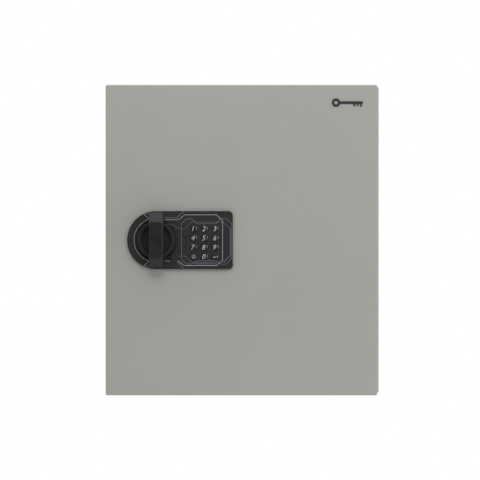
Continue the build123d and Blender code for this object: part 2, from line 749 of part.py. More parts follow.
def knob():
    """A dished disc crossed by a bar whose ends slope back."""
    long = BAR_LENGTH / 2
    body = disc(KNOB_X, KNOB_Z, (DISC_FRONT, KNOB_REAR), DISC_R)
    body -= disc(KNOB_X, KNOB_Z, (DISC_FRONT - 1, DISH_FLOOR), DISH_R)
    body = fillet(body.faces().sort_by(Axis.Y)[0].edges(), PLATE_EDGE)
    outline = Pos(KNOB_X, KNOB_Z) * RectangleRounded(BAR_WIDTH, BAR_LENGTH, BAR_CORNER)
    bar = slab(outline, (BAR_FRONT, PLATE_FRONT - BAR_LIFT))
    slope_rear = BAR_FRONT + BAR_SLOPE
    cone = Cone(long + PLATE_EDGE, DISC_R, BAR_SLOPE)
    shape = Pos(KNOB_X, (BAR_FRONT + slope_rear) / 2, KNOB_Z) * Rot(90, 0, 0) * cone
    shape += disc(KNOB_X, KNOB_Z, (slope_rear, KNOB_REAR), long + PLATE_EDGE)
    bar &= shape
    bar = fillet(bar.faces().filter_by(Plane.XZ).sort_by(Axis.Y)[0].edges(), BAR_EDGE)
    hole = (KNOB_REAR - SPINDLE_BITE, KNOB_REAR + 1)
    return body + bar - disc(KNOB_X, KNOB_Z, hole, SPINDLE_R)


def spindle():
    """The shaft from the knob to the cam, square at its rear end."""
    shaft = disc(KNOB_X, KNOB_Z, (KNOB_REAR - SPINDLE_BITE, CAM_FRONT), SPINDLE_R)
    half = SPINDLE_SQUARE / 2
    shaft += block(around(KNOB_X, half), (CAM_FRONT, CAM_REAR), around(KNOB_Z, half))
    return shaft - disc(KNOB_X, KNOB_Z, (CAM_REAR - CAM_SCREW_BITE, CAM_REAR + 1), CAM_SCREW_R)


def spindle_bush():
    """The flanged bush that carries the spindle through the door."""
    bush = disc(KNOB_X, KNOB_Z, (RECESS_FLOOR, BASE_REAR + BUSH_FLANGE), BUSH_R)
    bush += disc(KNOB_X, KNOB_Z, (BASE_REAR, BASE_REAR + BUSH_FLANGE), BUSH_FLANGE_R)
    bore = (RECESS_FLOOR - 1, BASE_REAR + BUSH_FLANGE + 1)
    return bush - disc(KNOB_X, KNOB_Z, bore, SPINDLE_R + BUSH_FIT)


def drive_cam():
    """The lever on the spindle whose pin moves the bolt."""
    pin = from_knob(CAM_PIN_REACH, -CAM_PIN_REACH)
    end_r = CAM_PIN_R + CAM_PIN_WALL
    arm = Pos(CAM_RADIUS / 2, 0) * Rectangle(CAM_RADIUS, 2 * end_r)
    outline = Circle(CAM_HUB_R) + Rot(0, 0, -45) * arm
    outline += Pos(CAM_PIN_REACH, -CAM_PIN_REACH) * Circle(end_r)
    outline -= Rectangle(SPINDLE_SQUARE, SPINDLE_SQUARE)
    lever = slab(Pos(KNOB_X, KNOB_Z) * outline, (CAM_FRONT, CAM_REAR))
    return lever + disc(*pin, (CAM_REAR, BOLT_REAR - BOLT_PLAY), CAM_PIN_R)


def cam_screw():
    """The screw that holds the cam on the spindle."""
    shank = disc(KNOB_X, KNOB_Z, (CAM_REAR - CAM_SCREW_BITE, CAM_REAR), CAM_SCREW_R)
    return shank + screw_head((KNOB_X, KNOB_Z), CAM_REAR, SPINDLE_R)


def bolt():
    """The sliding bolt plate, with the cam's slot and a flange with two blocking holes."""
    z = knob_height((BOLT_BOTTOM, BOLT_TOP))
    nose = -WIDTH / 2 + LIP + BOLT_NOSE_AIR
    plate = block((nose, KNOB_X + BOLT_TAIL), (BOLT_FRONT, BOLT_REAR), z)
    plate = chamfer(plate.faces().sort_by(Axis.X)[0].edges().filter_by(Axis.Z), BOLT_PLAY)
    slot_x = around(KNOB_X + CAM_PIN_REACH, SLOT_HALF)
    low = KNOB_Z - CAM_SWEEP_R - SLOT_END_AIR
    high = KNOB_Z - CAM_PIN_REACH + CAM_PIN_R + SLOT_END_AIR
    plate -= block(slot_x, (BOLT_FRONT - 1, BOLT_REAR + 1), (low, high))
    plunger_x = KNOB_X + PLUNGER_X
    left = plunger_x - (BOLT_FLANGE_LENGTH - BOLT_TRAVEL) / 2
    flange_y = (BOLT_FRONT, BOLT_REAR + BOLT_FLANGE_DEPTH)
    flange_z = knob_height((BOLT_TOP - BOLT_FLANGE, BOLT_TOP))
    plate += block((left, left + BOLT_FLANGE_LENGTH), flange_y, flange_z)
    for x in (plunger_x, plunger_x + BOLT_TRAVEL):
        plate -= post(x, PLUNGER_Y, (flange_z[0] - 1, flange_z[1] + 1), BLOCK_HOLE_R)
    return plate


def bolt_bracket():
    """The U-shaped bracket that carries the bolt and the solenoid."""
    x = knob_span((BRACKET_LEFT, BRACKET_RIGHT))
    bracket = block(x, (WEB_FRONT, WEB_REAR), knob_height((BRACKET_BOTTOM, BRACKET_TOP)))
    legs = [(BRACKET_BOTTOM, BRACKET_BOTTOM + BRACKET_SHEET),
            (BRACKET_TOP - BRACKET_SHEET, BRACKET_TOP)]
    for leg in legs:
        bracket += block(x, (BASE_REAR, WEB_FRONT), knob_height(leg))
    window = (WEB_FRONT - 1, WEB_REAR + 1)
    return bracket - disc(KNOB_X, KNOB_Z, window, CAM_SWEEP_R + CAM_WINDOW_AIR)


def bolt_guides():
    """The rail under the bolt, which also holds it in, and the rail above it."""
    x = knob_span((BRACKET_LEFT, BRACKET_RIGHT))
    low = BOLT_BOTTOM - SLIDE_GAP
    lip_front = BOLT_REAR + SLIDE_GAP
    lower = block(x, (WEB_REAR, lip_front), knob_height((low - GUIDE_SIDE, low)))
    lip = (low - GUIDE_SIDE, BOLT_BOTTOM + GUIDE_GRIP)
    lower += block(x, (lip_front, lip_front + GUIDE_LIP), knob_height(lip))
    high = BOLT_TOP + SLIDE_GAP
    upper_z = knob_height((high, COIL_BOTTOM - FRAME_SHEET))
    return group([lower, block(x, (WEB_REAR, BOLT_REAR), upper_z)])


# Solenoid

def solenoid_frame():
    """The bent strap that holds the coil and the spring."""
    plunger_x = KNOB_X + PLUNGER_X
    x = around(plunger_x, FRAME_WIDTH / 2)
    front = WEB_REAR + FRAME_BACK
    rear = PLUNGER_Y + COIL_R
    top = BRIDGE_Z + FRAME_SHEET
    bottom = COIL_BOTTOM - FRAME_SHEET
    frame = block(x, (WEB_REAR, front), knob_height((bottom, top)))
    for low in (bottom, COIL_TOP, BRIDGE_Z):
        frame += block(x, (front, rear), knob_height((low, low + FRAME_SHEET)))
    bore = knob_height((bottom - 1, COIL_TOP + 2 * FRAME_SHEET))
    return frame - post(plunger_x, PLUNGER_Y, bore, PLUNGER_R + PLUNGER_AIR)


def solenoid_coil():
    """The winding round the plunger."""
    z = knob_height((COIL_BOTTOM, COIL_TOP))
    coil = post(KNOB_X + PLUNGER_X, PLUNGER_Y, z, COIL_R)
    return coil - post(KNOB_X + PLUNGER_X, PLUNGER_Y, z, PLUNGER_R + PLUNGER_AIR)


def plunger():
    """The pin that drops into the bolt's blocking holes."""
    x = KNOB_X + PLUNGER_X
    tip = BOLT_TOP + PLUNGER_REST
    head = PLUNGER_HEAD_Z
    pin = post(x, PLUNGER_Y, knob_height((tip, tip + PLUNGER_TIP)), PLUNGER_TIP_R)
    pin += post(x, PLUNGER_Y, knob_height((tip + PLUNGER_TIP, head)), PLUNGER_R)
    return pin + post(x, PLUNGER_Y, knob_height((head, head + PLUNGER_HEAD)), PLUNGER_HEAD_R)


def plunger_spring():
    """The coil spring between the plunger's head and the frame's bridge."""
    low = KNOB_Z + PLUNGER_HEAD_Z + PLUNGER_HEAD + SPRING_WIRE_R
    height = KNOB_Z + BRIDGE_Z - SPRING_WIRE_R - low
    path = Helix(height / SPRING_TURNS, height, SPRING_R)
    path = Pos(KNOB_X + PLUNGER_X, PLUNGER_Y, low) * path
    section = Plane(path @ 0, z_dir=path % 0) * Circle(SPRING_WIRE_R)
    return sweep(section, path=path, is_frenet=True)


# Base, housing, electronics and batteries

def lock_base():
    """The moulded base inside the door, with posts for the main board."""
    x = knob_span((HOUSING_LEFT + HOUSING_WALL + BASE_GAP, HOUSING_RIGHT - HOUSING_WALL - BASE_GAP))
    z = knob_height((HOUSING_BOTTOM + HOUSING_WALL + BASE_GAP, HOUSING_TOP - HOUSING_WALL - BASE_GAP))
    base = block(x, (DOOR_INSIDE, BASE_REAR), z)
    base = lock_holes(base, (DOOR_INSIDE - 1, BASE_REAR + 1), PLATE_SCREW_R)
    for post_x in (MAIN_BOARD_X[0] + POST_INSET, MAIN_BOARD_X[1] - POST_INSET):
        for post_z in (MAIN_BOARD_Z[0] + POST_INSET, MAIN_BOARD_Z[1] - POST_INSET):
            base += disc(*from_knob(post_x, post_z), (BASE_REAR, MAIN_BOARD_FRONT), POST_R)
    for place in boss_places():
        base -= disc(*place, (BASE_REAR - HOUSING_SCREW_BITE, BASE_REAR + 1), HOUSING_SCREW_R)
    return base


def boss_places():
    """The four screw bosses of the housing."""
    return [from_knob(x, z) for x in BOSS_X for z in BOSS_Z]


def lock_housing():
    """The moulded housing over the lock works, with the battery opening."""
    width = HOUSING_RIGHT - HOUSING_LEFT
    height = HOUSING_TOP - HOUSING_BOTTOM
    middle = from_knob((HOUSING_RIGHT + HOUSING_LEFT) / 2, (HOUSING_TOP + HOUSING_BOTTOM) / 2)
    outline = Pos(*middle) * RectangleRounded(width, height, HOUSING_CORNER)
    inside = (width - 2 * HOUSING_WALL, height - 2 * HOUSING_WALL)
    hollow = Pos(*middle) * RectangleRounded(*inside, HOUSING_CORNER - HOUSING_WALL)
    shell = slab(outline, (DOOR_INSIDE, HOUSING_REAR))
    shell = fillet(shell.faces().sort_by(Axis.Y)[-1].edges(), HOUSING_WALL)
    shell -= slab(hollow, (DOOR_INSIDE - 1, HOUSING_INNER))
    for place in boss_places():
        shell += disc(*place, (BASE_REAR, HOUSING_INNER), BOSS_R)
    for place in boss_places():
        hole = HOUSING_SCREW_R + HOUSING_SCREW_GAP
        shell -= disc(*place, (BASE_REAR - 1, HOUSING_REAR + 1), hole)
        sink = (HOUSING_REAR - COUNTERBORE, HOUSING_REAR + 1)
        shell -= disc(*place, sink, SCREW_HEAD_R + COUNTERBORE_GAP)
    bolt_y = (BOLT_FRONT - SLIDE_GAP, BOLT_REAR + SLIDE_GAP)
    bolt_z = knob_height((BOLT_BOTTOM - SLIDE_GAP, BOLT_TOP + SLIDE_GAP))
    wall = knob_span((HOUSING_LEFT - 1, HOUSING_LEFT + HOUSING_WALL + 1))
    shell -= block(wall, bolt_y, bolt_z)
    opening = knob_span((COVER_LEFT, HOUSING_RIGHT + 1))
    through = (HOUSING_INNER - COVER_GAP, HOUSING_REAR + 1)
    shell -= block(opening, through, around(KNOB_Z, COVER_HALF))
    groove = around(cover_tongue_y(), TONGUE_THICK / 2 + COVER_GAP)
    return shell - block(opening, groove, around(KNOB_Z, COVER_HALF + TONGUE))


def cover_tongue_y():
    """The middle of the cover's tongues and of their grooves."""
    return HOUSING_REAR - HOUSING_BACK / 2


def battery_cover():
    """The sliding cover, with tongues at its long edges and grip ribs."""
    x = knob_span((COVER_LEFT + COVER_GAP, HOUSING_RIGHT))
    half = COVER_HALF - COVER_GAP
    cover = block(x, (HOUSING_INNER + COVER_GAP, HOUSING_REAR), around(KNOB_Z, half))
    tongue = around(cover_tongue_y(), TONGUE_THICK / 2)
    cover += block(x, tongue, around(KNOB_Z, half + TONGUE))
    rib_width, rib_length, rib_height = GRIP_RIB
    for i in range(GRIP_RIBS):
        rib_x = x[0] + (i + 2) * GRIP_PITCH
        rib_y = (HOUSING_REAR, HOUSING_REAR + rib_height)
        rib_z = around(KNOB_Z, rib_length / 2)
        cover += block(around(rib_x, rib_width / 2), rib_y, rib_z)
    return cover


def housing_screws():
    """The four screws that hold the housing to the base."""
    screws = []
    head = HOUSING_REAR - COUNTERBORE
    for place in boss_places():
        shank = disc(*place, (BASE_REAR - HOUSING_SCREW_BITE, head), HOUSING_SCREW_R)
        screws.append(shank + screw_head(place, head))
    return group(screws)


def main_board():
    """The control board on the base's posts."""
    x = knob_span(MAIN_BOARD_X)
    return block(x, (MAIN_BOARD_FRONT, MAIN_BOARD_REAR), knob_height(MAIN_BOARD_Z))


def tray_floor():
    """The rear face of the tray's floor, which the cells lie on."""
    return HOUSING_INNER - COVER_GAP - 2 * CELL_R


def cell_bottom():
    """The lower end of the cells."""
    return KNOB_Z - (CELL_LENGTH + CELL_NUB) / 2


def cell_places():
    """The X of each cell."""
    first = KNOB_X + TRAY_LEFT + TRAY_WALL + CELL_PITCH / 2
    return [first + i * CELL_PITCH for i in range(CELLS)]


def battery_tray():
    """The open tray that holds the cells, with a rim against the housing."""
    left = KNOB_X + TRAY_LEFT
    right = left + 2 * TRAY_WALL + CELLS * CELL_PITCH
    half = (CELL_LENGTH + CELL_NUB) / 2 + CONTACT_AIR
    floor = tray_floor()
    tray = block((left, right), (floor - TRAY_WALL, HOUSING_INNER), around(KNOB_Z, half + TRAY_WALL))
    rim = (HOUSING_INNER - TRAY_RIM, HOUSING_INNER)
    tray += block((left - 1, right), rim, around(KNOB_Z, TRAY_RIM_Z))
    cells = (left + TRAY_WALL, right - TRAY_WALL)
    return tray - block(cells, (floor, HOUSING_INNER + 1), around(KNOB_Z, half))


def batteries():
    """Four round cells side by side."""
    y = tray_floor() + CELL_R
    cells = []
    for i, x in enumerate(cell_places()):
        cell = post(x, y, (0, CELL_LENGTH), CELL_R)
        cell += post(x, y, (CELL_LENGTH, CELL_LENGTH + CELL_NUB), CELL_NUB_R)
        cell = Pos(0, 0, cell_bottom()) * cell
        cells.append(mirror(cell, about=Plane.XY.offset(KNOB_Z)) if i % 2 else cell)
    return group(cells)


def inner_leads():
    """The keypad ribbon, and the leads from the coil and the battery tray to the main board."""
    ribbon_z = around(KNOB_Z + RIBBON_Z, RIBBON_THICK / 2)
    leads = [block(knob_span(RIBBON_X), (DOOR_FRONT, MAIN_BOARD_FRONT), ribbon_z)]
    coil_x = KNOB_X + PLUNGER_X + COIL_R
    drop_x = KNOB_X + LEAD_DROP_X
    z = KNOB_Z + LEAD_Z
    turn = drop_x - 2 * LEAD_BEND
    points = [(coil_x, PLUNGER_Y, z), (turn, PLUNGER_Y, z),
              (drop_x, PLUNGER_Y - 2 * LEAD_BEND, z), (drop_x, MAIN_BOARD_REAR, z)]
    path = FilletPolyline(*points, radius=LEAD_BEND)
    leads.append(sweep(Plane(path @ 0, z_dir=path % 0) * Circle(LEAD_R), path=path))
    for x in BATTERY_LEADS_X:
        y = (MAIN_BOARD_REAR, tray_floor() - TRAY_WALL)
        leads.append(disc(*from_knob(x, LEAD_Z), y, LEAD_R))
    return group(leads)


def build():
    """Write every sub-part."""
    os.makedirs("parts", exist_ok=True)
    roof = case_top()
    save("case_wrap", case_wrap())
    save("case_top", roof)
    save("case_bottom", mirror(roof, about=Plane.XY))
    save("strike_plate", strike_plate())
    save("door_buffers", door_buffers())
    save("hinge_leaf_case", hinge_leaf(0, (CASE_FRONT - LEAF, CASE_FRONT)))
    save("hinge_leaf_door", hinge_leaf(1, (DOOR_REAR, DOOR_REAR + LEAF)))
    save("hinge_pin", hinge_pin())
    for number, z in enumerate(rail_heights(), start=1):
        save(f"hook_rail_{number}", hook_rail(z))
    save("key_hooks", key_hooks())
    save("label_strips", label_strips())
    save("rail_studs", rail_studs())
    save("rail_nuts", rail_nuts())
    save("door_panel", door_panel())
    save("badge", badge())
    save("lock_plate", lock_plate())
    for name, place in key_places():
        save(name, keypad_key(*place))
    save("keypad_board", keypad_board())
    save("snap_domes", snap_domes())
    save("led_windows", led_windows())
    save("plate_screws", plate_screws())
    save("key_cover", key_cover())
    save("cover_pivot", cover_pivot())
    save("cylinder_body", cylinder_body())
    save("cylinder_plug", cylinder_plug())
    save("knob", knob())
    save("spindle", spindle())
    save("spindle_bush", spindle_bush())
    save("drive_cam", drive_cam())
    save("cam_screw", cam_screw())
    save("bolt", bolt())
    save("bolt_bracket", bolt_bracket())
    save("bolt_guides", bolt_guides())
    save("solenoid_frame", solenoid_frame())
    save("solenoid_coil", solenoid_coil())
    save("plunger", plunger())
    save("plunger_spring", plunger_spring())
    save("lock_base", lock_base())
    save("lock_housing", lock_housing())
    save("battery_cover", battery_cover())
    save("housing_screws", housing_screws())
    save("main_board", main_board())
    save("battery_tray", battery_tray())
    save("batteries", batteries())
    save("inner_leads", inner_leads())


build()
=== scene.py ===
import json
from math import cos, pi, radians, sin

import bmesh
import bpy
from mathutils import Matrix, Vector


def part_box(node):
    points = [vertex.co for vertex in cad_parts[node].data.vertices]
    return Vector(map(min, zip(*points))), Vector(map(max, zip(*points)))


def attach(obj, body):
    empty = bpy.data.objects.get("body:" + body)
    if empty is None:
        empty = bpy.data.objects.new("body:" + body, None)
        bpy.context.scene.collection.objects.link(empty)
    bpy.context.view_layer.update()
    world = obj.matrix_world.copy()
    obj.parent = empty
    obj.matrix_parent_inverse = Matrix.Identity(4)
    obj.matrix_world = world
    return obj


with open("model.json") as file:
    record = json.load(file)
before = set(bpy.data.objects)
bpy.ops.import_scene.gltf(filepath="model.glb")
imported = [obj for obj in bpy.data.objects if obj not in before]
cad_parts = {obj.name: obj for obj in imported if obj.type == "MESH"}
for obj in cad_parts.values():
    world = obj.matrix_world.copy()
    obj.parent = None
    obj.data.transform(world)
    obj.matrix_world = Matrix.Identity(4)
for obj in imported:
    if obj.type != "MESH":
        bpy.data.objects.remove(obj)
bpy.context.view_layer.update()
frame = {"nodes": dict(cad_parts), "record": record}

MM = 0.001
NODES = frame["nodes"]

# Sizes in millimetres, places from the knob's axis on the lock plate's face
INK_HEIGHT = 0.04
ARC_RADIUS = 28.6
ARC_START = 111.4
ARC_END = 248.6
BRIGHT_LINE = 0.54
THIN_LINE = 0.42
GREY_LINE = 0.6
CIRCUIT_LINE = 0.6
CIRCUIT_EDGE = 1.1
CIRCUIT_BAND = 2.2
DIGIT_HEIGHT = 6.4
DIGIT_SLANT = 0.24
DIGIT_SHIFT = 0.9
MARK_SHIFT = 3.6
MARK_LENGTH = 0.9
MARK_LINE = 0.5
MARK_LEVELS = (1.9, 0.6, -0.7)
PICTOGRAM = 2.7
PICTOGRAM_LINE = 0.62
KEY_RADIUS = 4.8
KEY_CROWN = 0.35
KEY_GRID = 0.8
CELLS = 4
CELL_PITCH = 15.5
CELL_END = 23.8
CELL_BAND = 10.5
ARROW = 4.0
ARROW_LINE = 0.7
ARROW_INSET = 16.0
ARROW_RISE = 20.0
NUMBER_HEIGHT = 4.6
HOOKS_PER_RAIL = 10
HOOK_HEAD = 2.2
RAILS = 5
STRIP_HEIGHT = 8.0

# The studio, in metres
CAMERA_DISTANCE = 6.0
CAMERA_WIDTH = 0.6182
CAMERA_X = -0.0019
CAMERA_Z = 0.0001
FLOOR_LEVEL = -0.46
FLOOR_RADIUS = 0.95
HINGE_SIDE = (0.17, -0.09, 0)
CASE_MIDDLE = (0, -0.05, 0)
SURROUND_FRONT = 0.2
SURROUND_BACK = 0.72


# Places read from the frame

def middle(node):
    """The middle of a CAD node's box."""
    low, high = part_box(node)
    return (Vector(low) + Vector(high)) / 2


def front_of(node):
    """The y of a CAD node's front."""
    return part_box(node)[0][1]


KNOB_AXIS = middle("spindle")
PLATE_FRONT = front_of("lock_plate")
DOOR_FRONT = front_of("door_panel")


# Node trees

class Tree:
    """A short way to add nodes and links to one node tree."""

    def __init__(self, tree):
        self.tree = tree

    def add(self, kind, values=(), **settings):
        """Add a node, set its fields and its unlinked inputs, and link the others."""
        node = self.tree.nodes.new(kind)
        for field, value in settings.items():
            setattr(node, field, value)
        for socket, value in dict(values).items():
            if isinstance(value, bpy.types.NodeSocket):
                self.tree.links.new(value, node.inputs[socket])
            else:
                node.inputs[socket].default_value = value
        return node

    def math(self, operation, first, second):
        """A Math node's result."""
        return self.add("ShaderNodeMath", {0: first, 1: second}, operation=operation).outputs[0]

    def mix(self, factor, first, second):
        """A colour mix."""
        values = {"Factor": factor, 6: first, 7: second}
        return self.add("ShaderNodeMix", values, data_type="RGBA").outputs[2]

    def span(self, value, low, high, out_low, out_high):
        """A value mapped from one range to another, held at its ends."""
        values = {"Value": value, "From Min": low, "From Max": high,
                  "To Min": out_low, "To Max": out_high}
        return self.add("ShaderNodeMapRange", values).outputs[0]

    def noise(self, vector, scale, detail=3.0, roughness=0.5):
        """A noise texture's value."""
        values = {"Vector": vector, "Scale": scale, "Detail": detail, "Roughness": roughness}
        return self.add("ShaderNodeTexNoise", values).outputs[0]


def group(name, inputs, outputs):
    """A new shader node group with its named sockets."""
    made = bpy.data.node_groups.new(name, "ShaderNodeTree")
    kinds = {"vector": "NodeSocketVector", "colour": "NodeSocketColor", "value": "NodeSocketFloat"}
    for label, kind in inputs:
        made.interface.new_socket(label, in_out="INPUT", socket_type=kinds[kind])
    for label, kind in outputs:
        made.interface.new_socket(label, in_out="OUTPUT", socket_type=kinds[kind])
    tree = Tree(made)
    return made, tree, tree.add("NodeGroupInput").outputs, tree.add("NodeGroupOutput").inputs


def powder_coat_group():
    """Baked powder coat: orange peel, fine specks and a faint cloudiness."""
    inputs = [("Vector", "vector"), ("Colour", "colour"), ("Peel Scale", "value"), ("Cloud", "value")]
    outputs = [("Colour", "colour"), ("Roughness", "value"), ("Height", "value")]
    made, tree, given, result = group("powder_coat", inputs, outputs)
    link = made.links.new
    fine = tree.math("MULTIPLY", given["Peel Scale"], 3.7)
    peel = tree.noise(given["Vector"], given["Peel Scale"], 2.0, 0.45)
    grit = tree.noise(given["Vector"], fine, 2.0, 0.6)
    cloud = tree.noise(given["Vector"], 9.0, 2.0, 0.5)
    shade = tree.span(cloud, 0.3, 0.7, 0.0, 1.0)
    darker = tree.mix(given["Cloud"], given["Colour"], (0.27, 0.27, 0.25, 1.0))
    body = tree.mix(shade, darker, given["Colour"])
    speck = tree.span(grit, 0.62, 0.74, 0.0, 0.16)
    link(tree.mix(speck, body, (0.5, 0.5, 0.47, 1.0)), result["Colour"])
    link(tree.span(grit, 0.3, 0.7, 0.4, 0.5), result["Roughness"])
    soft = tree.math("MULTIPLY", grit, 0.28)
    link(tree.math("ADD", peel, soft), result["Height"])
    return made


def moulded_group():
    """Spark-eroded mould texture with a little handling shine."""
    inputs = [("Vector", "vector"), ("Colour", "colour"), ("Light", "colour"),
              ("Grain Scale", "value"), ("Rough", "value")]
    outputs = [("Colour", "colour"), ("Roughness", "value"), ("Height", "value")]
    made, tree, given, result = group("moulded_grain", inputs, outputs)
    link = made.links.new
    grain = tree.noise(given["Vector"], given["Grain Scale"], 3.0, 0.65)
    values = {"Vector": given["Vector"], "Scale": given["Grain Scale"]}
    pits = tree.add("ShaderNodeTexVoronoi", values).outputs["Distance"]
    handled = tree.noise(given["Vector"], 55.0, 3.0, 0.55)
    link(tree.mix(tree.span(grain, 0.45, 0.75, 0.0, 0.55), given["Colour"], given["Light"]),
         result["Colour"])
    rub = tree.span(handled, 0.35, 0.7, -0.05, 0.06)
    link(tree.math("ADD", given["Rough"], rub), result["Roughness"])
    link(tree.math("ADD", grain, tree.math("MULTIPLY", pits, 0.5)), result["Height"])
    return made


def plated_group():
    """Zinc-plated steel: spangled cloudiness, fine draw lines and dull spots."""
    inputs = [("Vector", "vector"), ("Stretched", "vector"), ("Colour", "colour"), ("Dull", "colour")]
    outputs = [("Colour", "colour"), ("Roughness", "value"), ("Height", "value")]
    made, tree, given, result = group("plated_steel", inputs, outputs)
    link = made.links.new
    cloud = tree.noise(given["Vector"], 160.0, 4.0, 0.6)
    lines = tree.noise(given["Stretched"], 900.0, 2.0, 0.5)
    link(tree.mix(tree.span(cloud, 0.35, 0.7, 0.0, 0.7), given["Colour"], given["Dull"]),
         result["Colour"])
    both = tree.math("ADD", tree.math("MULTIPLY", cloud, 0.5), tree.math("MULTIPLY", lines, 0.5))
    link(tree.span(both, 0.35, 0.65, 0.22, 0.42), result["Roughness"])
    link(lines, result["Height"])
    return made


POWDER_COAT = powder_coat_group()
MOULDED = moulded_group()
PLATED = plated_group()


def material(name, metallic=0.0, **sockets):
    """A material with a Principled shader, and its tree, shader and object coordinates."""
    made = bpy.data.materials.new(name)
    made.use_nodes = True
    tree = Tree(made.node_tree)
    shader = made.node_tree.nodes["Principled BSDF"]
    shader.inputs["Metallic"].default_value = metallic
    for socket, value in sockets.items():
        shader.inputs[socket.replace("_", " ")].default_value = value
    place = tree.add("ShaderNodeTexCoord").outputs["Object"]
    return made, tree, shader, place


def finish_surface(tree, shader, effect, strength, distance):
    """Link an effect group's colour, roughness and height to a shader."""
    link = tree.tree.links.new
    link(effect.outputs["Colour"], shader.inputs["Base Color"])
    link(effect.outputs["Roughness"], shader.inputs["Roughness"])
    values = {"Height": effect.outputs["Height"], "Strength": strength, "Distance": distance}
    bump = tree.add("ShaderNodeBump", values)
    link(bump.outputs["Normal"], shader.inputs["Normal"])


def coated_steel(name, colour):
    """Powder-coated sheet steel."""
    made, tree, shader, place = material(name, Coat_Weight=0.06)
    values = {"Vector": place, "Colour": colour, "Peel Scale": 520.0, "Cloud": 0.12}
    effect = tree.add("ShaderNodeGroup", values, node_tree=POWDER_COAT)
    finish_surface(tree, shader, effect, strength=0.32, distance=0.00012)
    return made


def moulded_plastic(name, colour, light, scale=1500.0, rough=0.42, strength=0.22, shine=0.5):
    """Moulded plastic with an eroded grain."""
    made, tree, shader, place = material(name, Specular_IOR_Level=shine)
    values = {"Vector": place, "Colour": colour, "Light": light, "Grain Scale": scale, "Rough": rough}
    effect = tree.add("ShaderNodeGroup", values, node_tree=MOULDED)
    finish_surface(tree, shader, effect, strength, distance=0.00006)
    return made


def plated_steel(name, colour, dull, stretch=(1.0, 1.0, 0.04)):
    """Plated steel, with its draw lines along the axis that the stretch makes smallest."""
    made, tree, shader, place = material(name, metallic=1.0)
    drawn = tree.add("ShaderNodeMapping", {"Vector": place, "Scale": stretch}).outputs[0]
    values = {"Vector": place, "Stretched": drawn, "Colour": colour, "Dull": dull}
    effect = tree.add("ShaderNodeGroup", values, node_tree=PLATED)
    finish_surface(tree, shader, effect, strength=0.15, distance=0.00005)
    return made


def printed_ink(name, colour, worn, rough=0.45):
    """Pad-printed ink that is a little thin in places."""
    made, tree, shader, place = material(name)
    thin = tree.span(tree.noise(place, 1800.0, 3.0, 0.6), 0.4, 0.75, 0.0, 0.5)
    tree.tree.links.new(tree.mix(thin, colour, worn), shader.inputs["Base Color"])
    shade = tree.span(tree.noise(place, 700.0, 2.0, 0.5), 0.3, 0.7, rough - 0.06, rough + 0.06)
    tree.tree.links.new(shade, shader.inputs["Roughness"])
    return made


def smoked_lens(name):
    """A dark glossy window with a faint cloudiness."""
    made, tree, shader, place = material(name, Coat_Weight=0.6, Coat_Roughness=0.05)
    cloud = tree.noise(place, 420.0, 2.0, 0.5)
    shade = tree.span(cloud, 0.35, 0.65, 0.0, 1.0)
    tint = tree.mix(shade, (0.010, 0.010, 0.012, 1), (0.022, 0.020, 0.024, 1))
    tree.tree.links.new(tint, shader.inputs["Base Color"])
    tree.tree.links.new(tree.span(cloud, 0.3, 0.7, 0.1, 0.2), shader.inputs["Roughness"])
    return made


def circuit_board(name):
    """Green solder mask over copper tracks."""
    made, tree, shader, place = material(name)
    values = {"Vector": place, "Scale": 420.0}
    cells = tree.add("ShaderNodeTexVoronoi", values, distance="CHEBYCHEV").outputs["Distance"]
    track = tree.span(cells, 0.42, 0.46, 0.0, 1.0)
    mask = tree.mix(track, (0.012, 0.085, 0.035, 1), (0.03, 0.17, 0.075, 1))
    tree.tree.links.new(mask, shader.inputs["Base Color"])
    tree.tree.links.new(tree.span(cells, 0.2, 0.6, 0.3, 0.42), shader.inputs["Roughness"])
    bump = tree.add("ShaderNodeBump", {"Height": track, "Strength": 0.4, "Distance": 0.00004})
    tree.tree.links.new(bump.outputs[0], shader.inputs["Normal"])
    return made


def cell_sleeve(name):
    """A battery sleeve with bare ends and a band at its positive end, turned on every other cell."""
    made, tree, shader, place = material(name)
    parts = tree.add("ShaderNodeSeparateXYZ", {"Vector": place}).outputs
    first = middle("batteries").x - CELLS / 2 * CELL_PITCH * MM
    along = tree.math("SUBTRACT", parts["X"], first)
    cell = tree.math("FLOOR", tree.math("DIVIDE", along, CELL_PITCH * MM), 0.0)
    turned = tree.math("MODULO", cell, 2.0)
    way = tree.math("SUBTRACT", 1.0, tree.math("MULTIPLY", turned, 2.0))
    height = tree.math("MULTIPLY", parts["Z"], way)
    metal = tree.math("GREATER_THAN", tree.math("ABSOLUTE", height, 0.0), CELL_END * MM)
    band = tree.math("GREATER_THAN", height, CELL_BAND * MM)
    scuff = tree.span(tree.noise(place, 600.0, 3.0, 0.6), 0.55, 0.8, 0.0, 0.4)
    sleeve = tree.mix(band, (0.018, 0.018, 0.02, 1), (0.42, 0.23, 0.06, 1))
    worn = tree.mix(scuff, sleeve, (0.16, 0.15, 0.14, 1))
    tree.tree.links.new(tree.mix(metal, worn, (0.62, 0.62, 0.6, 1)), shader.inputs["Base Color"])
    tree.tree.links.new(metal, shader.inputs["Metallic"])
    tree.tree.links.new(tree.span(scuff, 0.0, 0.4, 0.24, 0.42), shader.inputs["Roughness"])
    return made


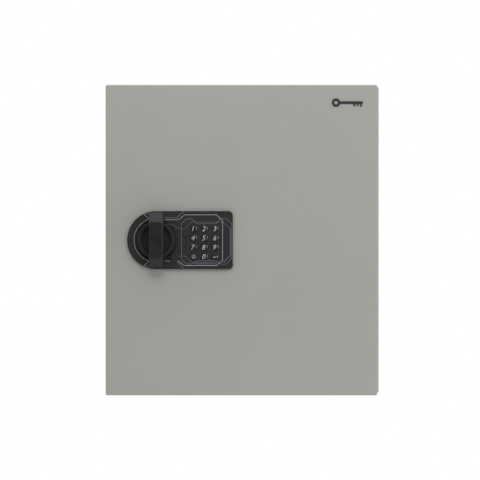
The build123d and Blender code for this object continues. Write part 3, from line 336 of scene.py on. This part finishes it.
def wound_copper(name):
    """Enamelled wire wound round a coil, its colour painted darker in the grooves between turns and
    lighter on their crowns: painted shade and painted highlight.
    """
    made, tree, shader, place = material(name, metallic=0.85)
    turns = tree.add("ShaderNodeTexWave", {"Vector": place, "Scale": 700.0, "Distortion": 0.6},
                     bands_direction="Z").outputs["Fac"]
    # Painted shade and highlight: the colour runs dark in the grooves between turns and bright on their
    # crowns, following the bump height
    tint = tree.mix(turns, (0.22, 0.07, 0.025, 1), (0.62, 0.26, 0.1, 1))
    tree.tree.links.new(tint, shader.inputs["Base Color"])
    tree.tree.links.new(tree.span(turns, 0.0, 1.0, 0.45, 0.25), shader.inputs["Roughness"])
    bump = tree.add("ShaderNodeBump", {"Height": turns, "Strength": 0.6, "Distance": 0.0001})
    tree.tree.links.new(bump.outputs[0], shader.inputs["Normal"])
    return made


def printed_card(name):
    """Matt white card with a little fibre."""
    made, tree, shader, place = material(name)
    fibre = tree.noise(place, 900.0, 5.0, 0.7)
    shade = tree.span(fibre, 0.35, 0.7, 0.0, 1.0)
    tint = tree.mix(shade, (0.78, 0.78, 0.75, 1), (0.66, 0.66, 0.63, 1))
    tree.tree.links.new(tint, shader.inputs["Base Color"])
    tree.tree.links.new(tree.span(fibre, 0.3, 0.7, 0.62, 0.78), shader.inputs["Roughness"])
    bump = tree.add("ShaderNodeBump", {"Height": fibre, "Strength": 0.15, "Distance": 0.00005})
    tree.tree.links.new(bump.outputs[0], shader.inputs["Normal"])
    return made


# Finishes

GREY_COAT = coated_steel("grey_powder_coat", (0.345, 0.349, 0.319, 1))
BLACK_MOULDING = moulded_plastic("black_moulding", (0.0145, 0.0145, 0.015, 1), (0.023, 0.023, 0.024, 1),
                                 rough=0.44, shine=0.32)
KNOB_MOULDING = moulded_plastic("knob_moulding", (0.0055, 0.0055, 0.0058, 1), (0.012, 0.012, 0.0125, 1),
                                rough=0.38, shine=0.4)
KEY_MOULDING = moulded_plastic("key_moulding", (0.011, 0.011, 0.012, 1), (0.02, 0.02, 0.021, 1),
                               scale=2200.0, rough=0.3, strength=0.12, shine=0.4)
COVER_MOULDING = moulded_plastic("cover_moulding", (0.016, 0.016, 0.0165, 1), (0.026, 0.026, 0.027, 1),
                                 rough=0.28, shine=0.5)
HOUSING_MOULDING = moulded_plastic("housing_moulding", (0.02, 0.02, 0.021, 1),
                                   (0.04, 0.04, 0.042, 1), scale=900.0, rough=0.5, strength=0.4)
BUSH_MOULDING = moulded_plastic("bush_moulding", (0.66, 0.65, 0.6, 1), (0.74, 0.73, 0.69, 1))
RUBBER = moulded_plastic("buffer_rubber", (0.012, 0.012, 0.012, 1), (0.03, 0.03, 0.03, 1),
                         scale=700.0, rough=0.72, strength=0.4)
RED_SLEEVE = moulded_plastic("lead_sleeve", (0.32, 0.02, 0.015, 1), (0.42, 0.05, 0.04, 1))
ZINC = plated_steel("zinc_plate", (0.66, 0.66, 0.65, 1), (0.44, 0.44, 0.43, 1))
ZINC_ALONG_X = plated_steel("zinc_plate_sheet", (0.66, 0.66, 0.65, 1), (0.46, 0.46, 0.44, 1),
                            (0.04, 1.0, 1.0))
DIE_CAST = plated_steel("die_cast_zinc", (0.5, 0.5, 0.49, 1), (0.34, 0.34, 0.33, 1), (1, 1, 1))
LENS = smoked_lens("smoked_lens")
BOARD = circuit_board("solder_mask")
SLEEVE = cell_sleeve("cell_sleeve")
COPPER = wound_copper("enamelled_copper")
CARD = printed_card("number_card")
WHITE_INK = printed_ink("white_ink", (0.5, 0.51, 0.51, 1), (0.34, 0.34, 0.34, 1))
DIGIT_INK = printed_ink("digit_ink", (0.42, 0.43, 0.44, 1), (0.3, 0.3, 0.31, 1))
PALE_INK = printed_ink("pale_ink", (0.27, 0.28, 0.29, 1), (0.18, 0.18, 0.18, 1))
GREY_INK = printed_ink("grey_ink", (0.15, 0.155, 0.16, 1), (0.1, 0.1, 0.1, 1))
BLUE_INK = printed_ink("blue_ink", (0.09, 0.115, 0.15, 1), (0.055, 0.065, 0.085, 1))
DARK_BLUE_INK = printed_ink("dark_blue_ink", (0.032, 0.048, 0.066, 1), (0.024, 0.034, 0.045, 1))
BLACK_INK = printed_ink("black_ink", (0.02, 0.02, 0.022, 1), (0.06, 0.06, 0.06, 1), 0.55)
BADGE_FACE = moulded_plastic("badge_face", (0.022, 0.022, 0.024, 1), (0.034, 0.034, 0.035, 1),
                             scale=2600.0, rough=0.34, strength=0.1, shine=0.4)

FINISHES = {
    "painted_steel": GREY_COAT,
    "zinc_steel": ZINC,
    "cast_zinc": DIE_CAST,
    "rubber": RUBBER,
    "black_plastic": BLACK_MOULDING,
    "key_plastic": KEY_MOULDING,
    "lamp_plastic": LENS,
    "housing_plastic": HOUSING_MOULDING,
    "bush_plastic": BUSH_MOULDING,
    "board": BOARD,
    "cell_wrap": SLEEVE,
    "copper_winding": COPPER,
    "lead_plastic": RED_SLEEVE,
    "label_plastic": CARD,
}
OWN_FINISH = {
    "knob": KNOB_MOULDING,
    "badge": BADGE_FACE,
    "cover_pivot": BLACK_MOULDING,
    "key_cover": COVER_MOULDING,
    "bolt": ZINC_ALONG_X,
    "bolt_bracket": ZINC_ALONG_X,
    "bolt_guides": ZINC_ALONG_X,
}


def finish_cad_nodes():
    """Give each CAD node the finish of its slot, or its own."""
    for part in frame["record"]["subparts"]:
        name = part["node"]
        finish = OWN_FINISH.get(name, FINISHES[part["material_slot"]])
        mesh = NODES[name].data
        mesh.materials.clear()
        mesh.materials.append(finish)


# Pieces

def keep(obj, finish, body):
    """Show a new piece with its finish, on its body."""
    obj.data.materials.clear()
    obj.data.materials.append(finish)
    if obj.name not in bpy.context.scene.collection.objects:
        bpy.context.scene.collection.objects.link(obj)
    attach(obj, body)
    return obj


def mesh_of(curve_object):
    """A mesh copy of a curve or text object, which is then removed."""
    bpy.context.scene.collection.objects.link(curve_object)
    bpy.context.view_layer.update()
    graph = bpy.context.evaluated_depsgraph_get()
    mesh = bpy.data.meshes.new_from_object(curve_object.evaluated_get(graph))
    bpy.data.objects.remove(curve_object)
    return mesh


def lines_mesh(name, runs, width):
    """A mesh of flat lines in millimetres, through the points of each run."""
    curve = bpy.data.curves.new(name, "CURVE")
    curve.dimensions = "3D"
    curve.bevel_depth = width / 2
    curve.bevel_resolution = 1
    curve.use_fill_caps = True
    for points, closed in runs:
        spline = curve.splines.new("POLY")
        spline.points.add(len(points) - 1)
        spline.use_cyclic_u = closed
        for point, (x, z) in zip(spline.points, points):
            point.co = (x, 0, z, 1)
    mesh = mesh_of(bpy.data.objects.new(name, curve))
    mesh.transform(Matrix.Diagonal((1, 2 * INK_HEIGHT / width, 1, 1)))
    return mesh


def printed_lines(name, runs, width, finish, place, body="door"):
    """Flat printed lines on a face, in millimetres from a place."""
    mesh = lines_mesh(name, runs, width)
    mesh.transform(Matrix.Translation(place) @ Matrix.Scale(MM, 4))
    return keep(bpy.data.objects.new(name, mesh), finish, body)


def arc(radius, start, end, steps=24):
    """Points along an arc about the origin, with its angles in degrees from +X towards +Z."""
    angles = [radians(start + (end - start) * i / steps) for i in range(steps + 1)]
    return [(radius * cos(a), radius * sin(a)) for a in angles]


def mirrored(points):
    """The same points on the other side of the knob's level."""
    return [(x, -z) for x, z in points]


def glyph_mesh(name, text, height, slant=0.0, thickness=0.1):
    """A mesh of some digits, facing the front, with its middle at the origin."""
    font = bpy.data.curves.new(name, "FONT")
    font.body = text
    font.shear = slant
    font.extrude = thickness / 2
    font.resolution_u = 4
    mesh = mesh_of(bpy.data.objects.new(name, font))
    ys = [v.co.y for v in mesh.vertices]
    xs = [v.co.x for v in mesh.vertices]
    scale = height / (max(ys) - min(ys))
    centre = Vector(((max(xs) + min(xs)) / 2, (max(ys) + min(ys)) / 2, 0))
    sized = Matrix.Diagonal((scale, scale, 1, 1)) @ Matrix.Translation(-centre)
    mesh.transform(Matrix.Rotation(pi / 2, 4, "X") @ sized)
    return mesh


def cut_grid(mesh, step, half):
    """Cut a mesh along a grid in X and Z, so that it can follow a curved face."""
    shape = bmesh.new()
    shape.from_mesh(mesh)
    count = int(half / step)
    for axis in (Vector((1, 0, 0)), Vector((0, 0, 1))):
        for i in range(-count, count + 1):
            everything = shape.verts[:] + shape.edges[:] + shape.faces[:]
            bmesh.ops.bisect_plane(shape, geom=everything, plane_co=axis * i * step, plane_no=axis)
    shape.to_mesh(mesh)
    shape.free()


def print_on_key(name, mesh, key, finish):
    """Lay a printed mark over a key's domed face."""
    low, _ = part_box(key)
    centre = middle(key)
    dome = (KEY_RADIUS ** 2 + KEY_CROWN ** 2) / (2 * KEY_CROWN)
    cut_grid(mesh, KEY_GRID, KEY_RADIUS)
    for vertex in mesh.vertices:
        reach = vertex.co.x ** 2 + vertex.co.z ** 2
        vertex.co.y += reach / (2 * dome)
    place = Matrix.Translation((centre.x, low[1], centre.z))
    mesh.transform(place @ Matrix.Scale(MM, 4))
    return keep(bpy.data.objects.new(name, mesh), finish, key)


# Printing on the lock plate and its keys

def plate_place():
    """The knob's axis on the lock plate's face."""
    return Vector((KNOB_AXIS.x, PLATE_FRONT, KNOB_AXIS.z))


def print_lock_plate():
    """The plate's printed arcs, frames and circuit line."""
    place = plate_place()
    round_knob = arc(ARC_RADIUS, ARC_START, ARC_END, 40)
    diagonal = [(-9.2, 26.9), (-16.6, 34.2)]
    frame_top = [(10.7, 26.2), (28.8, 26.2), (36.6, 32.5), (77.3, 32.5), (85.4, 25.2), (85.4, -26.2),
                 (77.3, -32.8), (36.3, -32.8), (27.4, -26.3)]
    stub = [(10.7, -27.1), (18.1, -27.1)]
    bright = [(round_knob, False), (diagonal, False), (mirrored(diagonal), False),
              (frame_top, False), (stub, False)]
    printed_lines("print_bright_lines", bright, BRIGHT_LINE, WHITE_INK, place)
    second = [(-8.6, 31.4), (-12.4, 35.1)]
    outer = [(10.7, 28.8), (26.3, 28.8), (35.6, 36.6)]
    outer_low = [(27.0, -28.8), (35.6, -36.6)]
    thin = [(second, False), (mirrored(second), False), (outer, False), (outer_low, False)]
    printed_lines("print_thin_lines", thin, THIN_LINE, PALE_INK, place)
    inner = [(32.5, 21.4), (38.8, 27.4), (45.5, 27.4), (52.4, 21.0), (76.6, 21.0), (83.2, 27.4),
             (90.4, 27.4), (97.0, 21.4), (97.0, -23.7), (90.4, -30.8), (83.2, -30.8),
             (77.3, -26.6), (52.9, -26.6), (45.5, -30.8), (38.8, -30.8), (32.5, -25.1)]
    printed_lines("print_grey_frame", [(inner, True)], GREY_LINE, GREY_INK, place)
    upper = [(14.4, 20.0), (21.1, 20.0), (29.2, 14.5), (36.6, 14.5), (45.8, 23.3), (86.2, 23.0),
             (95.4, 14.8)]
    lower = [(29.2, -20.7), (37.3, -20.7), (46.2, -28.8), (79.0, -28.8)]
    edge = [(95.4, 14.8), (95.4, -19.6), (86.6, -28.8)]
    band = [(49.0, -30.7), (77.0, -30.7)]
    printed_lines("print_circuit_line", [(upper, False), (lower, False)], CIRCUIT_LINE, BLUE_INK, place)
    printed_lines("print_circuit_edge", [(edge, False)], CIRCUIT_EDGE, BLUE_INK, place)
    printed_lines("print_circuit_band", [(band, False)], CIRCUIT_BAND, DARK_BLUE_INK, place)


def key_marks(name):
    """Three short plain strokes, one over another, at the right of a key's digit."""
    left, right = MARK_SHIFT - MARK_LENGTH / 2, MARK_SHIFT + MARK_LENGTH / 2
    runs = [([(left, z), (right, z)], False) for z in MARK_LEVELS]
    return lines_mesh(name, runs, MARK_LINE)


def print_keys():
    """A digit on each number key, and pictograms for on and enter."""
    for digit in "1234567890":
        mesh = glyph_mesh(f"digit_{digit}", digit, DIGIT_HEIGHT, DIGIT_SLANT)
        mesh.transform(Matrix.Translation((-DIGIT_SHIFT, 0, 0)))
        print_on_key(f"marks_{digit}", key_marks(f"marks_{digit}"), f"key_{digit}", WHITE_INK)
        print_on_key(f"digit_{digit}", mesh, f"key_{digit}", DIGIT_INK)
    ring = arc(PICTOGRAM * 0.8, 125, 415, 24)
    stroke = [(0.0, 0.4), (0.0, PICTOGRAM)]
    power = lines_mesh("power_mark", [(ring, False), (stroke, False)], PICTOGRAM_LINE)
    print_on_key("power_mark", power, "key_power", DIGIT_INK)
    shaft = [(PICTOGRAM, 1.6), (PICTOGRAM, -0.6), (-PICTOGRAM, -0.6)]
    head = [(-PICTOGRAM + 1.3, 0.7), (-PICTOGRAM, -0.6), (-PICTOGRAM + 1.3, -1.9)]
    enter = lines_mesh("enter_mark", [(shaft, False), (head, False)], PICTOGRAM_LINE)
    print_on_key("enter_mark", enter, "key_enter", DIGIT_INK)


def print_battery_cover():
    """An arrow on the battery cover, pointing the way that it slides."""
    low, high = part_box("battery_cover")
    place = Vector((low[0] + ARROW_INSET * MM, high[1], (low[2] + high[2]) / 2 + ARROW_RISE * MM))
    shaft = [(-ARROW, 0.0), (ARROW, 0.0)]
    head = [(ARROW / 2, ARROW / 2), (ARROW, 0.0), (ARROW / 2, -ARROW / 2)]
    runs = [(shaft, False), (head, False)]
    printed_lines("slide_arrow", runs, ARROW_LINE, PALE_INK, place, "battery_cover")


# Numbers over the hooks

def number_rails():
    """The hook numbers on each rail's strip, from the top left."""
    low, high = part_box("label_strips")
    hooks_low, hooks_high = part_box("key_hooks")
    rail_tops = [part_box(f"hook_rail_{i + 1}")[1][2] for i in range(RAILS)]
    first = hooks_low[0] + HOOK_HEAD * MM
    pitch = (hooks_high[0] - HOOK_HEAD * MM - first) / (HOOKS_PER_RAIL - 1)
    for rail in range(RAILS):
        shape = bmesh.new()
        level = rail_tops[rail] + high[2] - rail_tops[0] - STRIP_HEIGHT * MM / 2
        for hook in range(HOOKS_PER_RAIL):
            number = rail * HOOKS_PER_RAIL + hook + 1
            mesh = glyph_mesh(f"number_{number}", str(number), NUMBER_HEIGHT, thickness=0.08)
            place = Matrix.Translation((first + hook * pitch, low[1], level))
            mesh.transform(place @ Matrix.Scale(MM, 4))
            shape.from_mesh(mesh)
            bpy.data.meshes.remove(mesh)
        name = f"rail_numbers_{rail + 1}"
        numbers = bpy.data.meshes.new(name)
        shape.to_mesh(numbers)
        shape.free()
        keep(bpy.data.objects.new(name, numbers), BLACK_INK, "root")


# Studio

def camera():
    """A long lens square to the door."""
    data = bpy.data.cameras.new("camera")
    data.sensor_width = 36.0
    data.lens = data.sensor_width * CAMERA_DISTANCE / CAMERA_WIDTH
    data.clip_end = 40.0
    made = bpy.data.objects.new("camera", data)
    made.location = (CAMERA_X, DOOR_FRONT - CAMERA_DISTANCE, CAMERA_Z)
    made.rotation_euler = (pi / 2, 0, 0)
    bpy.context.scene.collection.objects.link(made)
    bpy.context.scene.camera = made


def area_light(name, place, target, size, power):
    """A rectangular soft light that faces a target."""
    data = bpy.data.lights.new(name, "AREA")
    data.shape = "RECTANGLE"
    data.size, data.size_y = size
    data.energy = power
    made = bpy.data.objects.new(name, data)
    made.location = place
    made.rotation_euler = (Vector(target) - Vector(place)).to_track_quat("-Z", "Y").to_euler()
    bpy.context.scene.collection.objects.link(made)


def surround():
    """A white surround that is dimmer in front of the door, where the camera stands."""
    world = bpy.data.worlds.new("surround")
    world.use_nodes = True
    bpy.context.scene.world = world
    tree = Tree(world.node_tree)
    seen = tree.add("ShaderNodeLightPath").outputs["Is Camera Ray"]
    direction = tree.add("ShaderNodeTexCoord").outputs["Generated"]
    depth = tree.add("ShaderNodeSeparateXYZ", {"Vector": direction}).outputs["Y"]
    around = tree.span(depth, -0.95, -0.4, SURROUND_FRONT, SURROUND_BACK)
    strength = tree.math("MAXIMUM", seen, around)
    background = world.node_tree.nodes["Background"]
    background.inputs["Color"].default_value = (1, 1, 1, 1)
    world.node_tree.links.new(strength, background.inputs["Strength"])


def lights():
    """Soft lights from above, the right, below, the side and overhead."""
    door = (0, DOOR_FRONT, 0)
    area_light("key_light", place=(-0.13, -1.75, 1.15), target=door, size=(1.0, 0.8), power=12.6)
    area_light("fill_light", place=(1.1, -1.8, 0.3), target=door, size=(1.2, 1.6), power=9.6)
    area_light("low_light", place=(-0.13, -1.5, -1.1), target=door, size=(0.7, 0.5), power=6.8)
    area_light("side_light", place=(2.0, -0.3, 0.0), target=HINGE_SIDE, size=(0.5, 1.2), power=6.0)
    area_light("top_light", place=(0.0, -0.3, 1.8), target=CASE_MIDDLE, size=(1.6, 1.0), power=7.5)


def pale_floor():
    """A round pale floor under the cabinet."""
    shape = bmesh.new()
    bmesh.ops.create_circle(shape, cap_ends=True, segments=96, radius=FLOOR_RADIUS)
    mesh = bpy.data.meshes.new("floor")
    shape.to_mesh(mesh)
    shape.free()
    mesh.transform(Matrix.Translation((0, 0, FLOOR_LEVEL)))
    floor = bpy.data.objects.new("floor", mesh)
    paper, _, shader, _ = material("floor_paper", Roughness=0.85)
    shader.inputs["Base Color"].default_value = (0.86, 0.86, 0.86, 1)
    mesh.materials.append(paper)
    bpy.context.scene.collection.objects.link(floor)


def plain_colours():
    """Show colours as they are, with no added look."""
    settings = bpy.context.scene.view_settings
    settings.view_transform = "Standard"
    settings.look = "None"


finish_cad_nodes()
print_lock_plate()
print_keys()
print_battery_cover()
number_rails()
camera()
surround()
lights()
pale_floor()
plain_colours()
